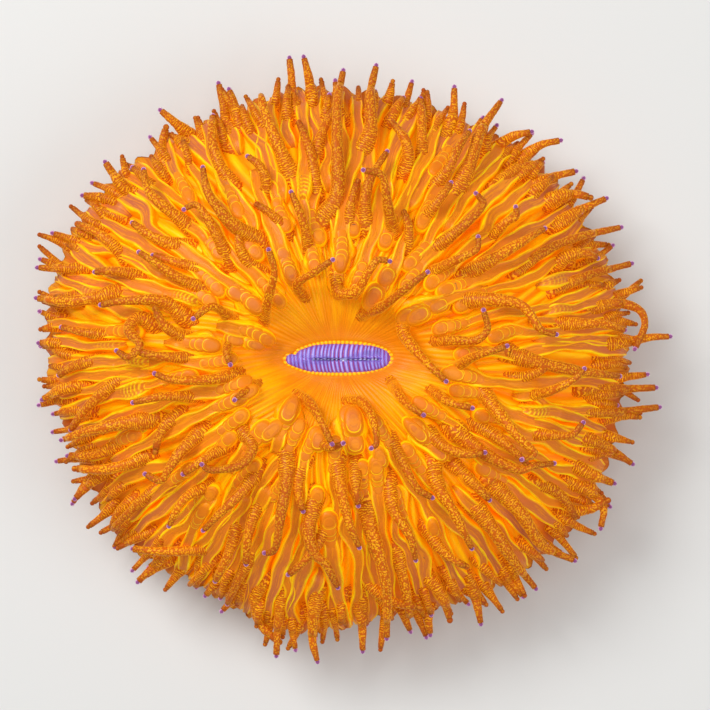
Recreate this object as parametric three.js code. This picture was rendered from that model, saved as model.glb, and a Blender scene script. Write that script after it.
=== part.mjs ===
// Mushroom coral: one fleshy free-living polyp with a long mouth and a crown of tentacles.
// Millimetres, +Z up. The origin is the middle of the flat underside, below the mouth.
import * as THREE from 'three';

// Driving dimensions, in millimetres unless a note says otherwise.
const marginHeight = 6.5;        // top of the body at its outer margin
const crownHeight = 9.0;         // rise of the crown above the margin
const crownPower = 2.6;          // how long the top stays flat before it falls away
const mouthDip = 2.2;            // hollow of the oral disc at the mouth
const mouthDipSpread = 0.15;     // width of that hollow, as a share of the way to the margin
const mouthHalfLength = 5.3;
const mouthHalfWidth = 1.9;
const mouthPitDepth = 3.0;
const pitShare = 0.86;           // floor of the mouth pit, as a share of its opening
const fitGap = 0.3;              // clear space between neighbouring pieces
const ridgeCount = 48;
const ridgeDepth = 0.8;          // depth of the grooves between ridges at the margin
const grooveStart = 0.2;         // share of the way to the margin where the grooves begin
const grooveFull = 0.7;          // share where they reach their full depth
const rimFall = 6;               // how fast the surface under the overhanging tips drops
const footRadius = 15;           // flat resting face
const mouthPleats = 24;
const mouthPleatDepth = 0.04;
const mouthCentre = 0.82;        // height of the middle of the mouth, as a share of the cushion
const tentacleGirth = 0.84;      // radius near the root
const tentacleTip = 0.34;        // radius at the tip
const tentacleTaper = 0.8;       // below 1 the stem thins quickly near its root
const fullGirthReach = 8;        // length at which a tentacle has its full girth
const leastGirth = 0.7;          // share of the girth left on the shortest tentacles
const mostGirth = 1.1;
const tentacleSides = 6;
const tentacleRings = 7;
const rootLift = 1.3;            // root centre above the body, clear of its ridges
const tipOvershoot = 0.35;       // end of the solid past the middle of the tip

// Rings of the top surface, as shares of the way from the mouth to the margin.
const topShares = [0, 0.05, 0.12, 0.2, 0.3, 0.42, 0.54, 0.66, 0.77, 0.87, 0.95, 1];

// Rings of the underside: share of the margin radius, then height.
const undersideProfile = [[1.0, 4.2], [0.96, 2.6], [0.84, 0.9]];

// Rings of the mouth cushion: share of the opening, then share of the cushion's height.
const mouthProfile = [[0.76, 0], [0.8, 0.5], [0.82, 0.8], [0.62, 0.95], [0.34, 0.9]];

// Radius of the margin every 20 degrees, counter-clockwise from +X.
const marginRadii = [26.5, 26.0, 25.7, 24.6, 24.4, 24.8, 24.4, 26.1, 27.0,
  26.6, 25.4, 25.7, 24.5, 25.4, 24.3, 25.1, 26.3, 26.5];

// Each tentacle: height of its tip above the body, then its route in plan from root to tip.
const tentacles = [
  // around the mouth
  [3.0, [-3, 5.5], [-3.5, 6.5], [-2, 7.5], [-0.5, 8.5]],
  [3.6, [-6.5, 3.5], [-6, 5.5], [-5.5, 7.5], [-6, 9.5]],
  [2.8, [0, 7.5], [0.2, 5.8], [1.7, 5.8], [2.5, 7], [3.5, 8.5], [4.5, 8.5]],
  [4.0, [2.5, 4], [4, 4.5], [6, 6], [8, 7.5]],
  [3.2, [6, 3.5], [6, 2], [7.5, 0], [9.5, -2]],
  [2.8, [9, 1.5], [10.5, 1.5], [12.3, 1.5], [13.3, 2.5], [13, 4]],
  [4.0, [10.5, -1], [12, 0], [13.5, 0.5], [15, 1]],
  [2.8, [5, -2.5], [6, -4], [7.5, -5]],
  [2.6, [8.5, -3], [10, -4], [12, -4.5]],
  [4.2, [13, -3], [14, -4.5], [16, -7], [17.5, -8.5], [16.5, -9]],
  [3.6, [1, -4], [2.3, -4], [3.2, -5.5], [3.5, -7.5], [3, -8]],
  [2.8, [-3.5, -3.5], [-2.5, -4], [-1.5, -5.5], [-0.5, -7.5]],
  [3.4, [-9.5, 3.5], [-11, 4.5], [-12.5, 3.5]],
  [2.6, [-9, -1.5], [-11.5, -2], [-14.5, -2], [-16, -1.5]],
  // lower left to lower right
  [2.8, [-8.5, -6.5], [-7.5, -8], [-8.5, -9.5], [-11, -10], [-12, -9.5]],
  [2.8, [-12, -6.5], [-14, -8.5], [-15, -10], [-15.7, -11], [-17, -10.5]],
  [2.8, [-7, -10], [-8.5, -12], [-10.5, -14], [-12, -15.5]],
  [2.8, [-11.5, -11.5], [-13.5, -12.5], [-14.5, -14], [-15, -15]],
  [2.8, [-4.5, -8.5], [-4.5, -11], [-5, -14], [-5.5, -17], [-6.5, -17.5]],
  [2.8, [-2, -12.5], [-2.5, -15.5], [-2, -17.5], [-1, -18.5], [0, -20.5]],
  [2.6, [0, -9], [0.3, -11.5], [1, -14.5], [2, -17]],
  [2.8, [2.6, -12.5], [2.9, -15], [3.8, -18], [4.5, -21.5], [4.5, -25.5]],
  [2.8, [4.7, -11], [5, -13.5], [6.5, -16], [7, -18]],
  [2.4, [4.8, -7.2], [5.7, -9], [7, -11.5], [8.5, -12.5]],
  [2.8, [8.5, -9.5], [9, -11.5], [10.5, -14], [12, -17]],
  [2.4, [10.5, -6.5], [13, -8.5], [16, -10], [17.5, -9.7], [19.5, -9.5]],
  [2.8, [13.5, -11], [16.5, -14], [18.5, -17], [21.5, -18.5]],
  [2.8, [12, -13], [14, -15.5], [16, -18.5], [18, -21]],
  // right
  [4.2, [17, -3.5], [19, -3], [21, -2], [22, -1]],
  [2.4, [17.3, -6.9], [19, -7], [21, -7], [22, -6]],
  [2.0, [15, 0.5], [18, -0.5], [21.5, -1.2], [25.5, -1.7]],
  [3.6, [11, 5], [14, 5.1], [16.5, 4.5], [18, 2.5], [19.5, 2]],
  [2.2, [19.2, 3], [21.5, 3], [24, 3], [26, 2.5]],
  [2.4, [23.9, 1.1], [26.5, 1.4], [28.5, 1.8], [30.5, 1.9]],
  // upper right
  [2.8, [8.5, 9.5], [11, 11.5], [13, 13.5], [12.5, 14.5]],
  [3.4, [8.3, 7.5], [10.5, 8.6], [12.3, 9.5], [12.5, 10.5]],
  [2.6, [11.2, 7.2], [14, 8.8], [16, 10], [18.5, 11.5]],
  [2.6, [13.6, 10.5], [15, 12], [16, 12.6], [16, 13.5]],
  [2.8, [8.5, 15], [10, 17], [11, 19], [12, 20.5]],
  [2.8, [10.5, 14.5], [12, 17.5], [13, 20.5], [15, 23.5]],
  [2.0, [2.5, 11.5], [2.5, 14], [3, 16], [4.5, 18.5]],
  [4.4, [5, 11], [4.5, 13.5], [4, 16], [2.5, 16.5]],
  // top
  [2.8, [-1.5, 12], [0, 14.5], [0, 19], [0, 23], [0.5, 26]],
  [2.6, [2, 18], [3, 20.5], [3, 24], [3.5, 26.5]],
  [2.4, [-2.3, 22.9], [-2.6, 25.4], [-3.1, 27.5]],
  [2.8, [-4, 16], [-5.5, 19.5], [-6.5, 22], [-7, 24]],
  [2.8, [-2.5, 9.5], [-3, 12], [-4, 14.5]],
  // upper left
  [3.6, [-7, 10.5], [-9.5, 12], [-11.4, 14.5], [-12, 17]],
  [2.6, [-9.7, 8.6], [-10.8, 11], [-12.4, 13.5], [-13.7, 13.2]],
  [2.8, [-13, 11.5], [-15.5, 13.5], [-17, 15], [-17.5, 17]],
  [2.8, [-11.7, 6], [-14, 7], [-16, 8.3], [-17.7, 9.4]],
  // left
  [2.6, [-13.6, 3.6], [-15.5, 5], [-19, 5], [-21, 4.7]],
  [2.8, [-19.4, 5.9], [-22, 5.3], [-24.7, 5], [-27.5, 5.4]],
  [2.0, [-22.5, 8.1], [-25.2, 8.1], [-27.5, 8.2]],
  [2.6, [-16.5, 3], [-17.8, 3.5], [-18.6, 2.4], [-17.5, 1.1], [-18.5, 0], [-19.5, 0.5]],
  [2.8, [-12.5, -3.5], [-15.5, -3.5], [-18, -4]],
  [2.8, [-16, -5.5], [-19.5, -6], [-22.5, -6.7], [-25, -7.5]],
  // bottom edge
  [2.2, [-1.7, -20.5], [-2.1, -23], [-2.3, -25.7], [-1.8, -28]],
];

const tau = 2 * Math.PI;
const slopeProbe = 0.2;          // half the distance over which the body's slope is taken

// Smooth closed curve of the margin through marginRadii.
function marginRadius(angle) {
  const place = ((angle / tau) * marginRadii.length + marginRadii.length) % marginRadii.length;
  const start = Math.floor(place);
  const at = (k) => marginRadii[(start + k + marginRadii.length) % marginRadii.length];
  const t = place - start;
  const rise = at(1) - at(-1);
  const bend = 2 * at(-1) - 5 * at(0) + 4 * at(1) - at(2);
  const twist = -at(-1) + 3 * at(0) - 3 * at(1) + at(2);
  return at(0) + 0.5 * t * (rise + t * (bend + t * twist));
}

function mouthRadius(angle) {
  return 1 / Math.hypot(Math.cos(angle) / mouthHalfLength, Math.sin(angle) / mouthHalfWidth);
}

// Height of the smooth top, from share 0 at the mouth to share 1 at the margin.
function crownAt(share) {
  const hollow = mouthDip * Math.exp(-((share / mouthDipSpread) ** 2));
  return marginHeight + crownHeight * (1 - share ** crownPower) - hollow;
}

// Height of the top surface below or above a point; past the margin it goes on gently down.
function bodyHeight(x, y) {
  const angle = Math.atan2(y, x);
  const inner = mouthRadius(angle);
  const share = Math.max(0, (Math.hypot(x, y) - inner) / (marginRadius(angle) - inner));
  return share <= 1 ? crownAt(share) : marginHeight - rimFall * (share - 1);
}

// Groove depth at a ring: grooves fade in away from the mouth, and every second spoke is a ridge.
function grooveAt(share, spoke) {
  const strength = THREE.MathUtils.smoothstep(share, grooveStart, grooveFull);
  return spoke % 2 === 0 ? 0 : ridgeDepth * strength;
}

// Closed body from rings of equal length, with one pole point at each end.
function closedFromRings(startPole, rings, endPole) {
  const count = rings[0].length;
  const points = [startPole, ...rings.flat(), endPole];
  const faces = [];
  for (let i = 0; i < count; i += 1) {
    const next = (i + 1) % count;
    const last = 1 + (rings.length - 1) * count;
    faces.push(0, 1 + i, 1 + next);
    faces.push(last + i, points.length - 1, last + next);
    for (let r = 0; r < rings.length - 1; r += 1) {
      const here = 1 + r * count;
      const there = here + count;
      faces.push(here + i, there + i, there + next);
      faces.push(here + i, there + next, here + next);
    }
  }
  const geometry = new THREE.BufferGeometry();
  geometry.setAttribute('position', new THREE.Float32BufferAttribute(points.flat(), 3));
  geometry.setIndex(faces);
  geometry.computeVertexNormals();
  return geometry;
}

function ringOf(count, pointAt) {
  return Array.from({ length: count }, (_, i) => pointAt((i / count) * tau, i));
}

// The body: pit for the mouth, ridged crown, rounded margin, and a flat foot.
function bodyGeometry() {
  const spokes = 2 * ridgeCount;
  const pitFloor = crownAt(0) - mouthPitDepth;
  const pit = ringOf(spokes, (a) => {
    const r = pitShare * mouthRadius(a);
    return [r * Math.cos(a), r * Math.sin(a), pitFloor];
  });
  const top = topShares.map((share) => ringOf(spokes, (a, i) => {
    const r = THREE.MathUtils.lerp(mouthRadius(a), marginRadius(a), share);
    return [r * Math.cos(a), r * Math.sin(a), crownAt(share) - grooveAt(share, i)];
  }));
  const underside = undersideProfile.map(([share, z]) => ringOf(spokes, (a) => {
    const r = share * marginRadius(a);
    return [r * Math.cos(a), r * Math.sin(a), z];
  }));
  const foot = ringOf(spokes, (a) => [footRadius * Math.cos(a), footRadius * Math.sin(a), 0]);
  return closedFromRings([0, 0, pitFloor], [pit, ...top, ...underside, foot], [0, 0, 0]);
}

// The mouth: a long pleated cushion that fills the pit with a clear gap all round.
function mouthGeometry() {
  const points = 4 * mouthPleats;
  const low = crownAt(0) - mouthPitDepth + fitGap;
  const rise = mouthPitDepth - 2 * fitGap;
  const rings = mouthProfile.map(([share, up]) => ringOf(points, (a, i) => {
    const r = share * mouthRadius(a) - (i % 2) * mouthPleatDepth;
    return [r * Math.cos(a), r * Math.sin(a), low + up * rise];
  }));
  return closedFromRings([0, 0, low + mouthCentre * rise], rings.reverse(), [0, 0, low]);
}

// A tentacle's middle line: it lifts off the body near its root and runs on above it.
function tentacleCurve([tipRise, ...route]) {
  const stops = route.map(([x, y]) => new THREE.Vector3(x, y, 0));
  const plan = new THREE.CatmullRomCurve3(stops, false, 'centripetal');
  const points = plan.getSpacedPoints(tentacleRings).map((p, i) => {
    const along = i / tentacleRings;
    const clear = rootLift + (tipRise - rootLift) * (1 - (1 - along) ** 2);
    const eastRise = bodyHeight(p.x + slopeProbe, p.y) - bodyHeight(p.x - slopeProbe, p.y);
    const northRise = bodyHeight(p.x, p.y + slopeProbe) - bodyHeight(p.x, p.y - slopeProbe);
    const lean = Math.hypot(1, eastRise / (2 * slopeProbe), northRise / (2 * slopeProbe));
    return new THREE.Vector3(p.x, p.y, bodyHeight(p.x, p.y) + clear * lean);
  });
  return new THREE.CatmullRomCurve3(points, false, 'centripetal');
}

// Round tapered body along a curve, with a closed pole at the root and a domed one at the tip.
function tentacleGeometry(row) {
  const curve = tentacleCurve(row);
  const reach = curve.getLength();
  const girth = tentacleGirth * THREE.MathUtils.clamp(reach / fullGirthReach, leastGirth, mostGirth);
  const up = new THREE.Vector3(0, 0, 1);
  const rings = [];
  for (let k = 0; k <= tentacleRings; k += 1) {
    const along = k / tentacleRings;
    const centre = curve.getPointAt(along);
    const forward = curve.getTangentAt(along);
    const side = new THREE.Vector3().crossVectors(forward, up).normalize();
    const over = new THREE.Vector3().crossVectors(side, forward);
    const radius = THREE.MathUtils.lerp(girth, tentacleTip, along ** tentacleTaper);
    rings.push(ringOf(tentacleSides, (a) => centre.clone()
      .addScaledVector(side, radius * Math.cos(a))
      .addScaledVector(over, radius * Math.sin(a)).toArray()));
  }
  const tip = curve.getPointAt(1).addScaledVector(curve.getTangentAt(1), tipOvershoot);
  return closedFromRings(curve.getPointAt(0).toArray(), rings, tip.toArray());
}

// Materials
const bodyFlesh = () => new THREE.MeshStandardMaterial({ color: 0xf2960a, roughness: 0.5, metalness: 0 });
const mouthFlesh = () => new THREE.MeshStandardMaterial({ color: 0x8f7ae0, roughness: 0.3, metalness: 0 });
const tentacleFlesh = () => new THREE.MeshStandardMaterial({ color: 0xcc7718, roughness: 0.5, metalness: 0 });

function piece(name, geometry, material) {
  const mesh = new THREE.Mesh(geometry, material);
  mesh.name = name;
  return mesh;
}

const coral = new THREE.Group();
coral.add(piece('body', bodyGeometry(), bodyFlesh()));
coral.add(piece('mouth', mouthGeometry(), mouthFlesh()));
tentacles.forEach((row, i) => {
  const name = `tentacle_${String(i + 1).padStart(2, '0')}`;
  coral.add(piece(name, tentacleGeometry(row), tentacleFlesh()));
});

export default coral;
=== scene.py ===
import math
import bpy
import numpy as np
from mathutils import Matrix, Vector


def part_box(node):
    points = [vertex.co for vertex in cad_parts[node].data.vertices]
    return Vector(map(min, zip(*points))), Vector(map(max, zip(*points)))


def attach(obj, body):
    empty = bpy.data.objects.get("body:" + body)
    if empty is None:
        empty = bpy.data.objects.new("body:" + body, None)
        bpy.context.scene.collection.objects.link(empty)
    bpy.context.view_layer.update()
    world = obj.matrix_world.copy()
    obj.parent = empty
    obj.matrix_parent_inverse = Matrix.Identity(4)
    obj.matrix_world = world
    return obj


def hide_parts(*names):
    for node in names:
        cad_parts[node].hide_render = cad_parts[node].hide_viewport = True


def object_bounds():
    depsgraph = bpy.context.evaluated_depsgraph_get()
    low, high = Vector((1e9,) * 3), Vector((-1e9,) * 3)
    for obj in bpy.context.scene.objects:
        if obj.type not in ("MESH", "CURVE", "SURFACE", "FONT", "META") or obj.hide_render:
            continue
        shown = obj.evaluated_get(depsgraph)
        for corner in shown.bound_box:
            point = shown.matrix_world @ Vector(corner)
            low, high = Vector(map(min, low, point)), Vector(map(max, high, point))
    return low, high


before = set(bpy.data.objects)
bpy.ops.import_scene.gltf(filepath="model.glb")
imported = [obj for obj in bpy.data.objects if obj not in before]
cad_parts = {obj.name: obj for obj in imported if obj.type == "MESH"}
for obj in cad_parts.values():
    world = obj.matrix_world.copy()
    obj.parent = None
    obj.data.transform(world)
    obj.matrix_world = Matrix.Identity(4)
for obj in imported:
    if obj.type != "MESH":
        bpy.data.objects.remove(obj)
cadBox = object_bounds()

# Mushroom coral, made in millimetres and handed to Blender in metres.
mm = 0.001
fullTurn = 2 * math.pi
boxLow, boxHigh = (np.array(corner) / mm for corner in cadBox)
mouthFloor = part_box("mouth")[0][2] / mm

scene = bpy.context.scene
scene.view_settings.view_transform = "Standard"


# the body's shape, shared by every piece that sits on it

crown = {
    "marginHeight": 6.5,      # top of the body at its outer margin
    "rise": 9.0,              # crown above the margin
    "power": 2.6,             # how long the top stays flat
    "dip": 2.2,               # hollow round the mouth
    "dipSpread": 0.15,
    "mouthHalfLength": 5.3,
    "mouthHalfWidth": 1.9,
    "footRadius": 15.0,
    # radius of the margin every 20 degrees, counter-clockwise from +X
    "marginRadii": [26.5, 26.0, 25.7, 24.6, 24.4, 24.8, 24.4, 26.1, 27.0,
                    26.6, 25.4, 25.7, 24.5, 25.4, 24.3, 25.1, 26.3, 26.5],
}


def smoothStep(value, low, high):
    t = np.clip((value - low) / (high - low), 0.0, 1.0)
    return t * t * (3 - 2 * t)


def marginRadius(angle):
    radii = np.array(crown["marginRadii"])
    count = len(radii)
    place = (np.asarray(angle) / fullTurn * count) % count
    start = np.floor(place).astype(int)
    t = place - start
    before, here, after, beyond = (radii[(start + k) % count] for k in (-1, 0, 1, 2))
    bend = 2 * before - 5 * here + 4 * after - beyond
    twist = -before + 3 * here - 3 * after + beyond
    return here + 0.5 * t * (after - before + t * (bend + t * twist))


def mouthRadius(angle):
    return 1 / np.hypot(np.cos(angle) / crown["mouthHalfLength"], np.sin(angle) / crown["mouthHalfWidth"])


def crownHeight(share):
    hollow = crown["dip"] * np.exp(-(share / crown["dipSpread"]) ** 2)
    top = crown["marginHeight"] + crown["rise"] * (1 - np.minimum(share, 1) ** crown["power"]) - hollow
    return top - 6 * np.maximum(share - 1, 0)


def shareAt(x, y):
    angle = np.arctan2(y, x)
    inner = mouthRadius(angle)
    return np.maximum(0, (np.hypot(x, y) - inner) / (marginRadius(angle) - inner))


def bodyHeight(x, y):
    return crownHeight(shareAt(x, y))


def bodySlope(x, y, probe=0.2):
    slopeX = (bodyHeight(x + probe, y) - bodyHeight(x - probe, y)) / (2 * probe)
    slopeY = (bodyHeight(x, y + probe) - bodyHeight(x, y - probe)) / (2 * probe)
    return slopeX, slopeY


def bodyNormal(x, y):
    slopeX, slopeY = bodySlope(x, y)
    normal = np.stack([-slopeX, -slopeY, np.ones_like(slopeX)], axis=-1)
    return normal / np.linalg.norm(normal, axis=-1, keepdims=True)


def radiusAtShare(angle, share):
    inner = mouthRadius(angle)
    return inner + share * (marginRadius(angle) - inner)


# mesh helpers

def smoothRoute(points, step):
    # round curve through given points, cut into even steps
    pts = np.array(points, dtype=float)
    padded = np.vstack([2 * pts[0] - pts[1], pts, 2 * pts[-1] - pts[-2]])
    t = np.linspace(0, 1, 24, endpoint=False)[:, None]
    parts = []
    for k in range(len(pts) - 1):
        a, b, c, d = padded[k:k + 4]
        parts.append(b + 0.5 * t * (c - a + t * (2 * a - 5 * b + 4 * c - d + t * (3 * b - a - 3 * c + d))))
    line = np.vstack(parts + [pts[-1:]])
    return evenly(line, step)


def evenly(line, step):
    lengths = np.concatenate([[0], np.cumsum(np.linalg.norm(np.diff(line, axis=0), axis=1))])
    count = max(3, int(round(lengths[-1] / step)) + 1)
    spots = np.linspace(0, lengths[-1], count)
    return np.stack([np.interp(spots, lengths, line[:, k]) for k in range(line.shape[1])], axis=1)


def sweepFrames(path):
    # side and over vectors carried along a path without twist
    forward = np.gradient(path, axis=0)
    forward /= np.linalg.norm(forward, axis=1, keepdims=True)
    side = np.cross(forward[0], [0.0, 0.0, 1.0])
    if np.linalg.norm(side) < 0.05:
        side = np.array([1.0, 0.0, 0.0])
    sides = []
    for direction in forward:
        side = side - direction * side.dot(direction)
        side = side / np.linalg.norm(side)
        sides.append(side)
    sides = np.array(sides)
    return forward, sides, np.cross(sides, forward)


def ringFaces(ringCount, sides, offset=0):
    # quads between rings, and fans to a pole before the first ring and after the last one
    ring = np.arange(sides)
    nextOne = (ring + 1) % sides
    faces = []
    for r in range(ringCount - 1):
        here = offset + 1 + r * sides
        there = here + sides
        faces.append(np.stack([here + ring, here + nextOne, there + nextOne, there + ring], axis=1))
    quads = np.vstack(faces)
    last = offset + 1 + (ringCount - 1) * sides
    start = np.stack([np.full(sides, offset), offset + 1 + nextOne, offset + 1 + ring], axis=1)
    end = np.stack([np.full(sides, last + sides), last + ring, last + nextOne], axis=1)
    return quads, np.vstack([start, end])


class MeshParts:
    # gathers closed shells and their surface values, then makes one object of them
    def __init__(self):
        self.points, self.quads, self.tris, self.values = [], [], [], {}
        self.count = 0

    def addRings(self, rings, startPole, endPole, values):
        ringCount, sides = rings.shape[:2]
        quads, tris = ringFaces(ringCount, sides, self.count)
        points = np.vstack([startPole, rings.reshape(-1, 3), endPole])
        self.points.append(points)
        self.quads.append(quads)
        self.tris.append(tris)
        for name, value in values.items():
            flat = value.reshape(-1, 3)
            ends = np.vstack([value[0].mean(axis=0), flat, value[-1].mean(axis=0)])
            self.values.setdefault(name, []).append(ends)
        self.count += len(points)

    def make(self, name, material, replaced=None):
        points = np.vstack(self.points)
        faces = np.vstack(self.quads).tolist() + np.vstack(self.tris).tolist()
        mesh = bpy.data.meshes.new(name)
        mesh.from_pydata((points * mm).tolist(), [], faces)
        for key, parts in self.values.items():
            layer = mesh.attributes.new(key, "FLOAT_VECTOR", "POINT")
            layer.data.foreach_set("vector", np.vstack(parts).astype(np.float32).ravel())
        mesh.polygons.foreach_set("use_smooth", [True] * len(mesh.polygons))
        mesh.materials.append(material)
        mesh.update()
        piece = bpy.data.objects.new(name, mesh)
        scene.collection.objects.link(piece)
        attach(piece, "root")
        if replaced:
            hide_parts(replaced)
        return piece


# finishes

def linear(red, green, blue):
    # screen colour from 0 to 255 into the shader's linear scale
    tones = [channel / 255 for channel in (red, green, blue)]
    return tuple(t / 12.92 if t < 0.04045 else ((t + 0.055) / 1.055) ** 2.4 for t in tones) + (1.0,)


class NodeBench:
    # short hand for placing and joining shader nodes
    def __init__(self, tree):
        self.tree = tree

    def node(self, kind, **settings):
        made = self.tree.nodes.new(kind)
        for key, value in settings.items():
            setattr(made, key, value)
        return made

    def feed(self, socket, value):
        if isinstance(value, bpy.types.NodeSocket):
            self.tree.links.new(value, socket)
        else:
            socket.default_value = value

    def math(self, operation, first, second=0.0, third=0.0, clamp=False):
        made = self.node("ShaderNodeMath", operation=operation, use_clamp=clamp)
        for socket, value in zip(made.inputs, (first, second, third)):
            self.feed(socket, value)
        return made.outputs[0]

    def mix(self, amount, first, second):
        made = self.node("ShaderNodeMix", data_type="RGBA")
        made.clamp_factor = True
        self.feed(made.inputs["Factor"], amount)
        self.feed(made.inputs[6], first)
        self.feed(made.inputs[7], second)
        return made.outputs[2]

    def step(self, value, low, high):
        made = self.node("ShaderNodeMapRange", interpolation_type="SMOOTHSTEP")
        for socket, number in zip(made.inputs, (value, low, high, 0.0, 1.0)):
            self.feed(socket, number)
        return made.outputs[0]

    def skinVector(self, attribute):
        return self.node("ShaderNodeAttribute", attribute_name=attribute).outputs["Vector"]

    def split(self, attribute):
        spread = self.node("ShaderNodeSeparateXYZ")
        self.tree.links.new(self.skinVector(attribute), spread.inputs[0])
        return spread.outputs[0], spread.outputs[1], spread.outputs[2]

    def combine(self, *values):
        made = self.node("ShaderNodeCombineXYZ")
        for socket, value in zip(made.inputs, values):
            self.feed(socket, value)
        return made.outputs[0]

    def place(self, group, **inputs):
        made = self.node("ShaderNodeGroup", node_tree=group)
        for key, value in inputs.items():
            self.feed(made.inputs[key], value)
        return made.outputs

    def noise(self, scale, detail, vector):
        made = self.node("ShaderNodeTexNoise")
        made.inputs["Scale"].default_value = scale
        made.inputs["Detail"].default_value = detail
        self.tree.links.new(vector, made.inputs["Vector"])
        return made.outputs["Fac"]


def newGroup(name, inputs, outputs):
    group = bpy.data.node_groups.new(name, "ShaderNodeTree")
    for socketName, kind, value in inputs:
        socket = group.interface.new_socket(name=socketName, in_out="INPUT", socket_type=kind)
        socket.default_value = value
    for socketName, kind in outputs:
        group.interface.new_socket(name=socketName, in_out="OUTPUT", socket_type=kind)
    bench = NodeBench(group)
    return group, bench, bench.node("NodeGroupInput").outputs, bench.node("NodeGroupOutput").inputs


colourKind, numberKind, vectorKind = "NodeSocketColor", "NodeSocketFloat", "NodeSocketVector"


def makeMottle():
    # slow drift between two colours, as living flesh has
    group, bench, given, out = newGroup(
        "flesh mottle",
        [("Colour", colourKind, (1, 1, 1, 1)), ("Patch", colourKind, (0, 0, 0, 1)),
         ("Patch Size", numberKind, 300.0), ("Amount", numberKind, 0.3)],
        [("Colour", colourKind)])
    coordinates = bench.node("ShaderNodeTexCoord").outputs["Object"]
    cloud = bench.node("ShaderNodeTexNoise")
    bench.feed(cloud.inputs["Scale"], given["Patch Size"])
    bench.tree.links.new(coordinates, cloud.inputs["Vector"])
    spread = bench.step(cloud.outputs["Fac"], 0.38, 0.66)
    bench.feed(out["Colour"], bench.mix(bench.math("MULTIPLY", spread, given["Amount"]),
                                        given["Colour"], given["Patch"]))
    return group


def makeStreaks():
    # uneven bright lines that run outward along a ridge, groove or fold
    group, bench, given, out = newGroup(
        "flesh streaks",
        [("Place", vectorKind, (0, 0, 0)), ("Density", numberKind, 40.0),
         ("Low", numberKind, 0.45), ("High", numberKind, 0.7)],
        [("Mask", numberKind)])
    cloud = bench.node("ShaderNodeTexNoise")
    bench.feed(cloud.inputs["Scale"], given["Density"])
    cloud.inputs["Detail"].default_value = 3.0
    cloud.inputs["Roughness"].default_value = 0.6
    bench.feed(cloud.inputs["Vector"], given["Place"])
    bench.feed(out["Mask"], bench.step(cloud.outputs["Fac"], given["Low"], given["High"]))
    return group


def makeGranules():
    # pale beads set close together on darker skin, run together into wavy ribs near the root
    group, bench, given, out = newGroup(
        "tentacle granules",
        [("Place", vectorKind, (0, 0, 0)), ("Density", numberKind, 4.4),
         ("Relief", numberKind, 0.0), ("Ribbing", numberKind, 0.0)],
        [("Mask", numberKind)])
    cells = bench.node("ShaderNodeTexVoronoi")
    cells.inputs["Randomness"].default_value = 0.85
    bench.feed(cells.inputs["Scale"], given["Density"])
    bench.feed(cells.inputs["Vector"], given["Place"])
    spot = bench.math("SUBTRACT", 1.0, bench.step(cells.outputs["Distance"], 0.2, 0.7))
    waves = bench.node("ShaderNodeTexWave", wave_type="BANDS", bands_direction="Z")
    waves.inputs["Scale"].default_value = 1.6
    waves.inputs["Distortion"].default_value = 8.0
    waves.inputs["Detail"].default_value = 2.0
    waves.inputs["Detail Scale"].default_value = 1.6
    bench.feed(waves.inputs["Vector"], given["Place"])
    breaks = bench.step(bench.noise(3.2, 1.0, given["Place"]), 0.36, 0.56)
    rib = bench.math("MULTIPLY", bench.step(waves.outputs["Fac"], 0.25, 0.9),
                     bench.math("MULTIPLY_ADD", breaks, 0.6, 0.4))
    blend = bench.node("ShaderNodeMix", data_type="FLOAT")
    bench.feed(blend.inputs[0], given["Ribbing"])
    bench.feed(blend.inputs[2], spot)
    bench.feed(blend.inputs[3], rib)
    bench.feed(out["Mask"], bench.math("MULTIPLY_ADD", given["Relief"], 0.3,
                                       bench.math("MULTIPLY", blend.outputs[0], 0.75), clamp=True))
    return group


def makeSkinGrain():
    # very fine wet skin texture for the bump
    group, bench, given, out = newGroup(
        "skin grain",
        [("Grain Size", numberKind, 4000.0), ("Fold", numberKind, 0.0)],
        [("Height", numberKind)])
    coordinates = bench.node("ShaderNodeTexCoord").outputs["Object"]
    cloud = bench.node("ShaderNodeTexNoise")
    bench.feed(cloud.inputs["Scale"], given["Grain Size"])
    bench.tree.links.new(coordinates, cloud.inputs["Vector"])
    bench.feed(out["Height"], bench.math("MULTIPLY_ADD", given["Fold"], 0.7,
                                         bench.math("MULTIPLY", cloud.outputs["Fac"], 0.5)))
    return group


mottleGroup = makeMottle()
streaksGroup = makeStreaks()
granulesGroup = makeGranules()
grainGroup = makeSkinGrain()


def newFlesh(name, roughness, coat, paintedGlow):
    material = bpy.data.materials.new(name)
    material.use_nodes = True
    bench = NodeBench(material.node_tree)
    shader = material.node_tree.nodes["Principled BSDF"]
    shader.inputs["Roughness"].default_value = roughness
    shader.inputs["Coat Weight"].default_value = coat
    shader.inputs["Coat Roughness"].default_value = 0.2
    shader.inputs["Specular IOR Level"].default_value = 0.12
    # painted glow: the flesh gives off light of its own colour, though it is no lamp
    shader.inputs["Emission Strength"].default_value = paintedGlow
    return material, bench, shader


def finishFlesh(bench, shader, colour, height, depth):
    bench.feed(shader.inputs["Base Color"], colour)
    # painted glow: the same colour is given off as light
    bench.feed(shader.inputs["Emission Color"], colour)
    bump = bench.node("ShaderNodeBump")
    bump.inputs["Distance"].default_value = depth
    bump.inputs["Strength"].default_value = 1.0
    bench.feed(bump.inputs["Height"], height)
    bench.feed(shader.inputs["Normal"], bump.outputs["Normal"])


tentacleLook = {
    "granule": linear(255, 180, 20),
    "between": linear(202, 96, 8),
    "root": linear(194, 92, 8),
    "rootRib": linear(252, 176, 12),
    "tip": linear(150, 66, 16),
    "paintedRimLight": linear(255, 178, 30),
    "ball": linear(214, 160, 206),
    "ballShade": linear(138, 78, 130),
    "patch": linear(224, 112, 8),
    "dull": linear(152, 66, 18),
}


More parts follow.
